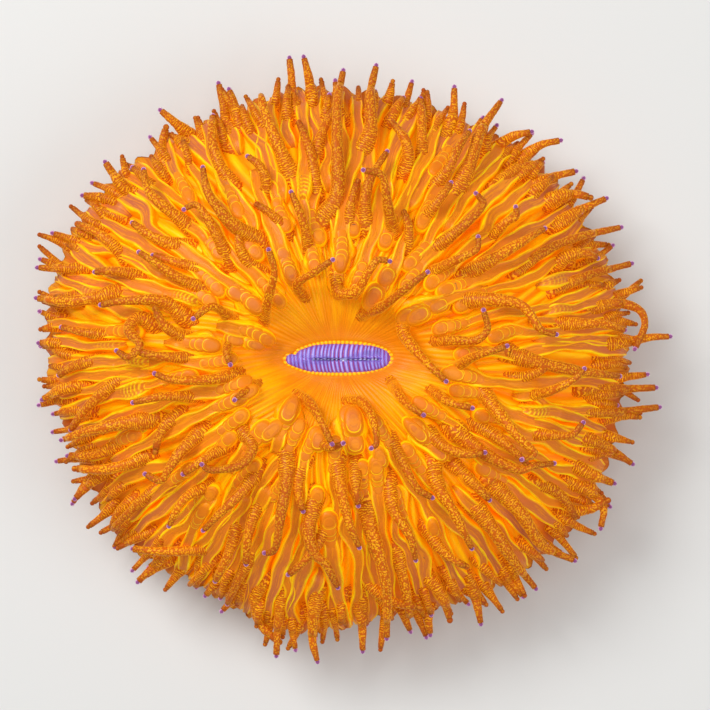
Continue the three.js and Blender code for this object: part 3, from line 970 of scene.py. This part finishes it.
def growMainTentacles():
    rng = np.random.default_rng(11)
    for index, (tipRise, *route) in enumerate(routes):
        label = f"tentacle_{index + 1:02d}"
        reach = np.linalg.norm(np.diff(np.array(route), axis=0), axis=1).sum()
        girth = tentacle["girth"] * min(max(reach / 8, 0.75), 1.1)
        parts = MeshParts()
        growTentacle(parts, tipRise, route, girth, tentacle["tipRadius"], tentacle["sides"], rng)
        parts.make(f"finger_{index + 1:02d}", tentacleFlesh, label)


growMainTentacles()
print("main tentacles grown")


# more tentacles between the main ones, and the fringe round the margin

filler = {
    "count": 60,
    "spacing": 1.5,
    "crowding": 0.42,       # share of a tentacle that may lie across another
    "sides": 22,
    "girth": 0.69,
    "length": (4.0, 7.5),
    "attempts": 6000,
}

fringe = {
    "count": 176,
    "sides": 10,
    "girth": 0.53,
    "length": 3.3,
}


# small tentacles: height of the tip, then the route in plan from root to tip
smallRoutes = [
    [1.8, [-1.8, -7.4], [-0.6, -8], [0.6, -7.6]],
    [1.4, [-7.3, -2.5], [-8.3, -3.1], [-9.1, -3.8]],
    [1.6, [-9.6, 1.5], [-9.8, 0.5], [-9.5, -0.5]],
    [2.4, [22.3, 4.2], [25.4, 4.9], [27.5, 4.4], [28.1, 3], [27.2, 0.9]],
    [1.4, [22, -2.8], [26, -2.9], [29.1, -2.8]],
    [1.6, [21.5, -5], [25.5, -5], [29.4, -4.6]],
    [1.8, [19.2, 5.9], [23, 7.5], [27, 8.6]],
    [2.2, [15.8, 7.4], [18.8, 9.6], [22.2, 11], [26, 11.9]],
    [1.8, [19.2, 11.8], [22, 13.4], [24.5, 14.5]],
    [2.0, [14.4, 19.2], [16, 20.2], [17.6, 20.6]],
    [1.6, [16.5, 18], [18.5, 19.4], [20.5, 19.9]],
    [1.6, [17.5, 15.5], [19.7, 16.5], [21.7, 17]],
    [2.2, [20.7, -11.2], [23, -12.3], [24.3, -13.7], [24.1, -15.5]],
    [1.8, [22.1, -7], [24.6, -8.2], [26.9, -9.7]],
    [1.8, [-4.9, -20.8], [-5.4, -24], [-5.6, -27.2]],
    [1.6, [-7.5, -17.5], [-8.9, -20], [-10.1, -22.6]],
    [1.8, [-16.1, -11.7], [-18.4, -13.6], [-20.5, -15.7]],
    [1.6, [-20.6, -10.1], [-22.4, -11.4], [-24.1, -13]],
    [1.6, [-15.2, -17.4], [-16.7, -19], [-18.2, -20.5]],
    [1.4, [-10.2, 20.6], [-10.4, 22.8], [-10.9, 25]],
    [1.6, [-8.8, 20.5], [-9.2, 22.4], [-9.9, 24.4]],
    [1.6, [-13.4, 20.2], [-14.9, 21.5], [-16.3, 22.7]],
    [1.6, [-20.2, 14], [-21.7, 14.6], [-23.2, 14.8]],
    [1.4, [-24.3, 0.9], [-26, 1.3], [-27.6, 1.3]],
    [1.6, [-20.2, 2], [-22.6, 2.2], [-24.9, 2.7]],
    [1.6, [-4.4, 22.5], [-4.2, 25], [-4.4, 27.3]],
    [1.8, [10, 20.2], [10.6, 22.4], [10.7, 24.6]],
    [1.8, [11.7, -19.8], [12.6, -22], [13.1, -24.3]],
    [1.8, [1.6, -21.6], [2.2, -24.2], [2.3, -26.8]],
    [1.6, [8.5, -22.1], [8.3, -23.8], [8.5, -25.5]],
]


def growSmallTentacles():
    rng = np.random.default_rng(19)
    parts = MeshParts()
    for tipRise, *route in smallRoutes:
        girth = filler["girth"] * rng.uniform(0.8, 1.0)
        growTentacle(parts, tipRise, route, girth, 0.28, filler["sides"], rng, tone=rng.uniform(0.3, 0.8))
    return parts.make("smallTentacles", tentacleFlesh)


def growFillers():
    rng = np.random.default_rng(23)
    taken = [smoothRoute(route, 0.5) for _, *route in routes + smallRoutes]
    lines = list(np.vstack(taken))
    parts = MeshParts()
    made = 0
    for _ in range(filler["attempts"]):
        if made >= filler["count"]:
            break
        angle = rng.uniform(0, fullTurn)
        share = rng.uniform(0.22, 0.93) ** 0.75
        r = float(radiusAtShare(angle, share))
        heading = angle + rng.normal(0, 0.28)
        bend = rng.normal(0, 0.25)
        length = rng.uniform(*filler["length"]) * (0.8 if share < 0.5 else 1.0)
        spots = [np.array([r * math.cos(angle), r * math.sin(angle)])]
        for k in range(3):
            direction = heading + bend * k
            spots.append(spots[-1] + length / 3 * np.array([math.cos(direction), math.sin(direction)]))
        route = np.array(spots)
        if shareAt(route[-1, 0], route[-1, 1]) > 1.07:
            continue
        near = smoothRoute(route, 0.5)
        gaps = np.linalg.norm(np.array(lines)[:, None, :] - near[None, :, :], axis=2)
        if gaps[:, 0].min() < filler["spacing"] or (gaps.min(axis=0) < 1.1).mean() > filler["crowding"]:
            continue
        lines.extend(near)
        growTentacle(parts, rng.uniform(1.0, 2.3), route, filler["girth"] * rng.uniform(0.85, 1.1), 0.32,
                     filler["sides"], rng, rng.random() < 0.5)
        made += 1
    print("filler tentacles", made, parts.count)
    return parts.make("lesserTentacles", tentacleFlesh)


def growFringe():
    rng = np.random.default_rng(31)
    parts = MeshParts()
    for k in range(fringe["count"]):
        angle = (k + rng.uniform(-0.35, 0.35)) / fringe["count"] * fullTurn
        rootShare = rng.uniform(0.84, 0.95)
        length = fringe["length"] * rng.uniform(0.7, 1.25)
        heading = angle + rng.normal(0, 0.22)
        r = float(radiusAtShare(angle, rootShare))
        root = np.array([r * math.cos(angle), r * math.sin(angle)])
        tip = root + length * np.array([math.cos(heading), math.sin(heading)])
        middle = (root + tip) / 2 + rng.normal(0, 0.15, 2)
        tipRise, girth = rng.uniform(0.5, 1.6), fringe["girth"] * rng.uniform(0.8, 1.2)
        growTentacle(parts, tipRise, np.array([root, middle, tip]), girth, 0.24, fringe["sides"], rng,
                     rng.random() < 0.35, rng.uniform(0.6, 1.0))
    print("fringe", parts.count)
    return parts.make("marginFringe", tentacleFlesh)


growSmallTentacles()
growFillers()
growFringe()
print("lesser tentacles and fringe grown")


# septal ridges

ridge = {
    "count": 96,
    "halfWidth": 0.64,
    "bigWidening": 1.2,     # how much wider the prominent ridges are made
    "height": 0.75,
    "crescentPitch": 0.36,
    "crescentReach": 3.4,
    "crescentHeight": 0.11,
}

ridgeAcross = np.array([-1.5, -1.2, -1.02, -0.88, -0.74, -0.45, 0.0, 0.45, 0.74, 0.88, 1.02, 1.2, 1.5])
ridgeProfile = np.array([-1.0, -0.1, 0.6, 1.0, 0.94, 0.86, 0.84, 0.86, 0.94, 1.0, 0.6, -0.1, -1.0])


def growRidge(parts, route, halfWidth, height, noseRise, mauve, rng, lobed=False):
    # flat-topped band with raised lips; its inner end swells and folds into crescents
    plan = smoothRoute(route, 0.08)
    distance = np.concatenate([[0], np.cumsum(np.linalg.norm(np.diff(plan, axis=0), axis=1))])
    fineEnd = min(ridge["crescentReach"], distance[-1] * 0.6)
    stops = np.concatenate([np.arange(0, fineEnd, 0.08), np.arange(fineEnd, distance[-1], 0.3)])
    if noseRise < 0.3:
        stops = np.arange(0, distance[-1], 0.3)
    x, y = np.interp(stops, distance, plan[:, 0]), np.interp(stops, distance, plan[:, 1])
    base = np.column_stack([x, y, bodyHeight(x, y)])
    normal = bodyNormal(x, y)
    forward = np.gradient(base, stops, axis=0)
    forward /= np.linalg.norm(forward, axis=1, keepdims=True)
    side = np.cross(forward, normal)
    total = stops[-1]
    nose = smoothStep(stops, -0.1, 0.9) ** 0.5
    tail = 1 - smoothStep(stops, total - 1.2, total)
    crest = height * nose * (0.35 + 0.65 * tail) + noseRise * np.exp(-((stops - 1.1) / 1.1) ** 2) * nose
    if lobed:
        crest = height * smoothStep(stops, 0.4, 3.6) * (0.35 + 0.65 * tail)
    wave = rng.uniform(0, 6)
    wide = halfWidth * (0.82 + 0.18 * np.sin(stops * 0.9 + wave))
    wide = wide * (0.4 + 0.6 * nose) * (0.55 + 0.45 * tail)
    wide = wide * (1 + 0.45 * noseRise * np.exp(-((stops - 1.2) / 1.3) ** 2))
    across = ridgeAcross[None, :]
    phase = (stops[:, None] + 0.5 * across ** 2) / ridge["crescentPitch"]
    fading = 1 - smoothStep(stops, 1.8, ridge["crescentReach"])
    crescent = (0.5 + 0.5 * np.cos(phase * fullTurn)) * fading[:, None]
    crescent = crescent * (0.0 if lobed else min(1.0, noseRise / 0.6)) * (np.abs(across) < 1.3)
    relief = ridge["crescentHeight"] * (crescent - 0.3 * (crescent > 0))
    lift = np.maximum(crest[:, None] * ridgeProfile[None, :] + relief, -0.9)
    wander = 0.06 * np.sin(stops * 2.3 + wave)[:, None]
    top = (base[:, None, :] + side[:, None, :] * (across * wide[:, None] + wander)[:, :, None]
           + normal[:, None, :] * lift[:, :, None])
    keel = base[:, None, :] - normal[:, None, :] * 1.1 + side[:, None, :] * wander[:, :, None]
    rings = np.concatenate([top, keel], axis=1)[:, ::-1]
    share = shareAt(x, y)
    rows = len(stops)
    tint = mauve * (0.05 + 0.75 * smoothStep(share, 0.5, 0.95))
    columns = len(ridgeAcross)
    skin = np.stack([np.repeat(across, rows, 0), np.repeat(stops[:, None], columns, 1),
                     np.zeros((rows, columns))], axis=2)
    fold = np.stack([crescent, np.repeat(tint[:, None], columns, 1),
                     np.full((rows, columns), rng.uniform(0, 1))], axis=2)
    skin = np.concatenate([skin, skin[:, 6:7]], axis=1)[:, ::-1]
    fold = np.concatenate([fold, fold[:, 6:7] * 0], axis=1)[:, ::-1]
    parts.addRings(rings, base[0] - normal[0] * 0.5, base[-1] - normal[-1] * 0.5,
                   {"skin": skin, "fold": fold})


lobe = {
    "length": 2.1,
    "width": 1.5,
    "rise": 0.95,
    "sides": 16,
    "steps": (0.7, 1.3, 1.9, 2.6),        # mm from the ridge's inner end
    "shrink": (1.0, 0.94, 0.86, 0.78),
}

# from the middle of a lobe outward: size, height, place between top and foot, bright line
lobeProfile = [(0.3, 1.0, 0.12, 0.0), (0.56, 0.97, 0.34, 0.0), (0.62, 0.95, 0.4, 0.85),
               (0.68, 0.92, 0.46, 0.0), (0.84, 0.76, 0.62, 0.0), (0.9, 0.62, 0.7, 1.0),
               (0.96, 0.4, 0.84, 0.0), (1.0, 0.0, 1.15, 0.0), (1.0, -0.6, 1.4, 0.0)]

# larger rounded lobes round the mouth: x, y, heading in degrees, length, width, rise
bigLobes = [
    (-4.3, -4.9, -114, 2.8, 1.9, 1.25), (-5.8, -6.5, -140, 3.0, 1.6, 1.0),
    (1.5, -5.9, -85, 2.9, 2.1, 1.25), (1.6, -7.6, -88, 2.2, 1.9, 0.9),
    (7.0, -6.5, -45, 3.3, 1.5, 1.1), (8.9, -8.3, -46, 2.6, 1.3, 0.8),
    (3.3, 5.5, 60, 2.7, 2.1, 1.25), (4.4, 7.1, 58, 2.3, 1.8, 1.0), (5.2, 8.3, 58, 2.0, 1.6, 0.8),
    (7.3, 3.8, 22, 2.6, 1.7, 1.15), (9.0, 4.5, 22, 2.3, 1.5, 0.9),
    (-7.4, 4.7, 150, 2.2, 1.7, 1.1), (-8.9, 5.6, 148, 2.2, 1.5, 0.85),
    (-4.1, 7.4, 112, 2.2, 1.6, 1.1), (-4.7, 9.0, 112, 2.0, 1.5, 0.8),
    (-7.6, 1.3, 168, 2.2, 1.4, 1.0), (-9.2, 1.6, 170, 2.0, 1.3, 0.8),
    (-8.0, -3.2, -158, 2.2, 1.4, 1.0), (10.4, -1.5, -8, 2.4, 1.5, 1.0),
    (0.3, 8.4, 90, 2.2, 1.5, 1.0), (-1.7, -7.4, -95, 2.2, 1.6, 1.0), (3.8, -8.8, -75, 2.4, 1.5, 0.9),
]


def growLobe(parts, x, y, heading, length, width, rise, mauve, chance):
    # rounded cushion along the ridge, with a bright border and an arc across its outer half
    sides = lobe["sides"]
    turn = np.arange(sides) / sides * fullTurn
    ahead = np.array([math.cos(heading), math.sin(heading)])
    aside = np.array([-ahead[1], ahead[0]])
    rings, skin, fold = [], [], []
    for size, level, edge, border in lobeProfile:
        forth = size * length / 2 * np.sign(np.cos(turn)) * np.abs(np.cos(turn)) ** 0.85
        across = size * width / 2 * np.sign(np.sin(turn)) * np.abs(np.sin(turn)) ** 0.85
        across = across * (1 + 0.12 * np.cos(turn))
        px = x + ahead[0] * forth + aside[0] * across
        py = y + ahead[1] * forth + aside[1] * across
        rings.append(np.column_stack([px, py, bodyHeight(px, py)]) + bodyNormal(px, py) * (level * rise))
        line = border * (1.0 if size > 0.8 else smoothStep(np.cos(turn), -0.1, 0.5))
        tint = mauve * max(0.0, 1 - 2.2 * edge)
        skin.append(np.column_stack([np.full(sides, edge), forth + 3 * chance, np.zeros(sides)]))
        fold.append(np.column_stack([line * np.ones(sides), np.full(sides, tint), np.full(sides, chance)]))
    parts.addRings(np.array(rings), rings[0].mean(axis=0), rings[-1].mean(axis=0),
                   {"skin": np.array(skin), "fold": np.array(fold)})


def lobesAlong(parts, route, halfWidth, scale, rng):
    line = smoothRoute(route, 0.1)
    for distance, shrink in list(zip(lobe["steps"], lobe["shrink"]))[::-1]:
        spot = min(int(distance / 0.1), len(line) - 4)
        ahead = line[spot + 3] - line[spot - 1]
        heading = math.atan2(ahead[1], ahead[0]) + rng.normal(0, 0.08)
        size = shrink * scale
        width = halfWidth / 0.55 * lobe["width"] * size
        growLobe(parts, line[spot, 0], line[spot, 1], heading, lobe["length"] * size, width,
                 lobe["rise"] * size, rng.uniform(0.0, 0.2), rng.uniform(0, 1))


def growBigLobes():
    rng = np.random.default_rng(47)
    parts = MeshParts()
    for x, y, degrees, length, width, rise in bigLobes:
        growLobe(parts, x, y, math.radians(degrees), length, width, rise, rng.uniform(0.15, 0.45),
                 rng.uniform(0, 1))
    return parts.make("ridgeLobes", ridgeFlesh)


# prominent ridges: mauve share, nose rise, half width, then the route from the inner end outward
bigRidges = [
    [0.2, 0.9, 0.62, [-3.8, 6.6], [-5.2, 10.2], [-6.5, 13.5], [-7.5, 17]],
    [0.7, 0.6, 0.55, [-8.6, 12.4], [-10.8, 17.5], [-12.2, 22]],
    [1.0, 0.9, 0.6, [-7, 4.2], [-9.5, 6.5], [-13.8, 9.5], [-16.5, 11.2], [-17.3, 13.2], [-20.5, 15]],
    [0.6, 0.4, 0.6, [-12, 4.8], [-19.3, 7], [-24.5, 10.2]],
    [0.8, 0.5, 0.5, [-13, 13.8], [-15, 17.5], [-15.8, 20.5]],
    [0.5, 0.4, 0.6, [-3, 13.5], [-2.8, 18], [-3.3, 23.5]],
    [0.5, 0.9, 0.6, [0.4, 8.2], [0.6, 13.8], [1.8, 18.8], [1.6, 24]],
    [0.5, 0.9, 0.55, [7.4, 11.5], [8.6, 14.3], [11.6, 18.8], [13.5, 21.5]],
    [0.6, 0.9, 0.6, [9.1, 5.7], [14.8, 7.9], [19.8, 10.4], [22.5, 12.8]],
    [0.1, 0.9, 0.6, [5.7, 3.6], [9.4, 5], [13.5, 6.2]],
    [0.1, 0.8, 0.5, [3.4, 5], [5.2, 8.4], [6.2, 11.5]],
    [0.8, 0.3, 0.5, [18, 6.5], [21.5, 7.3], [25, 9.2]],
    [0.6, 0.3, 0.5, [18.5, 4], [22, 4.6], [25.6, 6.2]],
    [0.6, 0.9, 0.6, [10, -1.3], [15, -2.3], [21.6, -2.1], [25.8, -3]],
    [0.7, 0.4, 0.5, [16.2, -4.6], [20, -5], [24.6, -6.8]],
    [1.0, 0.6, 0.45, [11, -10.3], [14.5, -13.3], [18.7, -17.8]],
    [0.8, 0.5, 0.45, [8.3, -14.5], [9.5, -17.5], [11.6, -21.5]],
    [0.4, 0.6, 0.7, [-0.8, -13.8], [-0.4, -19], [0.8, -25]],
    [0.4, 0.6, 0.6, [3.4, -9], [4, -15.5], [5, -23]],
    [0.3, 0.5, 0.5, [-11.6, -13], [-13.2, -16], [-14.2, -20]],
    [0.5, 0.7, 0.55, [-12.6, -9.6], [-15, -11.3], [-19.5, -15]],
    [0.4, 0.9, 0.6, [-8.2, -3.4], [-13.4, -5.7], [-20.4, -9.6]],
    [0.7, 0.4, 0.55, [-16.6, -2.5], [-21, -3.6], [-25.6, -5.4]],
    [0.6, 0.4, 0.5, [-16.3, -0.3], [-21, -0.4], [-26.2, -0.9]],
    [0.5, 0.3, 0.45, [-19, 1.2], [-22, 1], [-26, 1.8]],
    [0.5, 0.3, 0.5, [-20.6, 5.4], [-23, 6.2], [-25.6, 7.4]],
    [0.0, 1.0, 0.7, [-3.9, -4.2], [-4.8, -6.2], [-5.6, -8.6]],
    [0.0, 1.0, 0.75, [0.9, -4.8], [1.2, -6.6], [1.2, -8.8]],
    [0.0, 1.0, 0.7, [-6.2, -6], [-8, -8], [-9.6, -10.4]],
    [0.0, 1.0, 0.7, [6.6, -5.8], [8.4, -7.6], [10.4, -9.2]],
    [0.0, 0.9, 0.6, [-10.6, 1], [-13, 1.2], [-15.6, 1.4]],
    [0.0, 0.9, 0.6, [-6, 1.6], [-8, 2.4], [-11, 2.8]],
]


def growBigRidges():
    rng = np.random.default_rng(43)
    parts = MeshParts()
    for mauve, noseRise, halfWidth, *route in bigRidges:
        wide, high = halfWidth * ridge["bigWidening"], ridge["height"] * 1.25
        growRidge(parts, route, wide, high, noseRise, mauve, rng, noseRise >= 0.5)
        if noseRise >= 0.5:
            lobesAlong(parts, route, halfWidth, 1.0, rng)
    print("big ridges", parts.count)
    return parts.make("bigRidges", ridgeFlesh)


def growRidges():
    rng = np.random.default_rng(41)
    parts = MeshParts()
    taken = np.vstack([smoothRoute(route, 0.5) for _, _, _, *route in bigRidges])
    for k in range(ridge["count"]):
        angle = (k + rng.uniform(-0.3, 0.3)) / ridge["count"] * fullTurn
        order = 0 if k % 4 == 0 else 1 if k % 2 == 0 else 2
        start = (0.2, 0.34, 0.52)[order] + rng.uniform(-0.05, 0.08)
        shares = np.linspace(start, 1.0, 7)
        wobble = np.cumsum(rng.normal(0, 0.35, 7))
        wobble -= np.linspace(wobble[0], wobble[-1], 7)
        r = radiusAtShare(np.full(7, angle), shares)
        turned = angle + wobble / r
        route = np.column_stack([r * np.cos(turned), r * np.sin(turned)])
        gaps = np.linalg.norm(route[:, None, :] - taken[None, :, :], axis=2).min(axis=1)
        clear = np.flatnonzero(gaps > 0.95)
        if len(clear) < 3:
            continue
        route = route[clear[0]:]
        wide = ridge["halfWidth"] * rng.uniform(0.8, 1.2)
        high = ridge["height"] * rng.uniform(0.7, 1.1)
        noseRise = (0.75, 0.6, 0.2)[order]
        growRidge(parts, route, wide, high, noseRise, rng.uniform(0.0, 0.8), rng, order < 2)
        if order < 2:
            lobesAlong(parts, route, ridge["halfWidth"], 0.85, rng)
    print("ridges", parts.count)
    return parts.make("septalRidges", ridgeFlesh)


growBigRidges()
growBigLobes()
growRidges()
print("ridges grown")


# floor, light and camera

stage = {
    "floorSize": 1.2,
    "floorTone": linear(226, 226, 224),
    "aim": (1.6, 0.2, 10.0),       # mm, middle of the view
    "viewWidth": 64.5,             # mm across the frame at that height
    "lens": 150.0,
    "sensorWidth": 36.0,
    "worldStrength": 0.28,
}

# name, place in metres, size in metres, power
lights = [
    ("keySoftbox", (-0.22, 0.2, 0.32), 0.2, 1.27),
    ("fillSoftbox", (0.3, -0.12, 0.28), 0.3, 0.5),
    ("topSoftbox", (0.0, 0.05, 0.5), 0.25, 0.5),
]


def makeFloor():
    half = stage["floorSize"] / 2
    mesh = bpy.data.meshes.new("floor")
    corners = [(-half, -half, 0), (half, -half, 0), (half, half, 0), (-half, half, 0)]
    mesh.from_pydata(corners, [], [(0, 1, 2, 3)])
    material = bpy.data.materials.new("floorPaper")
    material.use_nodes = True
    shader = material.node_tree.nodes["Principled BSDF"]
    shader.inputs["Base Color"].default_value = stage["floorTone"]
    shader.inputs["Roughness"].default_value = 0.9
    mesh.materials.append(material)
    floor = bpy.data.objects.new("floor", mesh)
    scene.collection.objects.link(floor)


def makeLight(name, location, size, power):
    data = bpy.data.lights.new(name, "AREA")
    data.size = size
    data.energy = power
    lamp = bpy.data.objects.new(name, data)
    lamp.location = location
    aim = np.array([0, 0, 0.01]) - np.array(location)
    pitch = math.atan2(math.hypot(aim[0], aim[1]), -aim[2])
    turn = math.atan2(aim[1], aim[0]) - math.pi / 2
    lamp.rotation_euler = (pitch, 0, turn)
    scene.collection.objects.link(lamp)


def makeCamera():
    data = bpy.data.cameras.new("camera")
    data.lens = stage["lens"]
    data.sensor_width = stage["sensorWidth"]
    data.clip_start = 0.01
    distance = stage["viewWidth"] / stage["sensorWidth"] * stage["lens"]
    camera = bpy.data.objects.new("camera", data)
    x, y, z = stage["aim"]
    camera.location = (x * mm, y * mm, (z + distance) * mm)
    scene.collection.objects.link(camera)
    scene.camera = camera


def makeWorld():
    world = bpy.data.worlds.new("studio")
    world.use_nodes = True
    background = world.node_tree.nodes["Background"]
    background.inputs["Color"].default_value = (1, 1, 1, 1)
    background.inputs["Strength"].default_value = stage["worldStrength"]
    scene.world = world


makeFloor()
for light in lights:
    makeLight(*light)
makeWorld()
makeCamera()
print("stage ready")
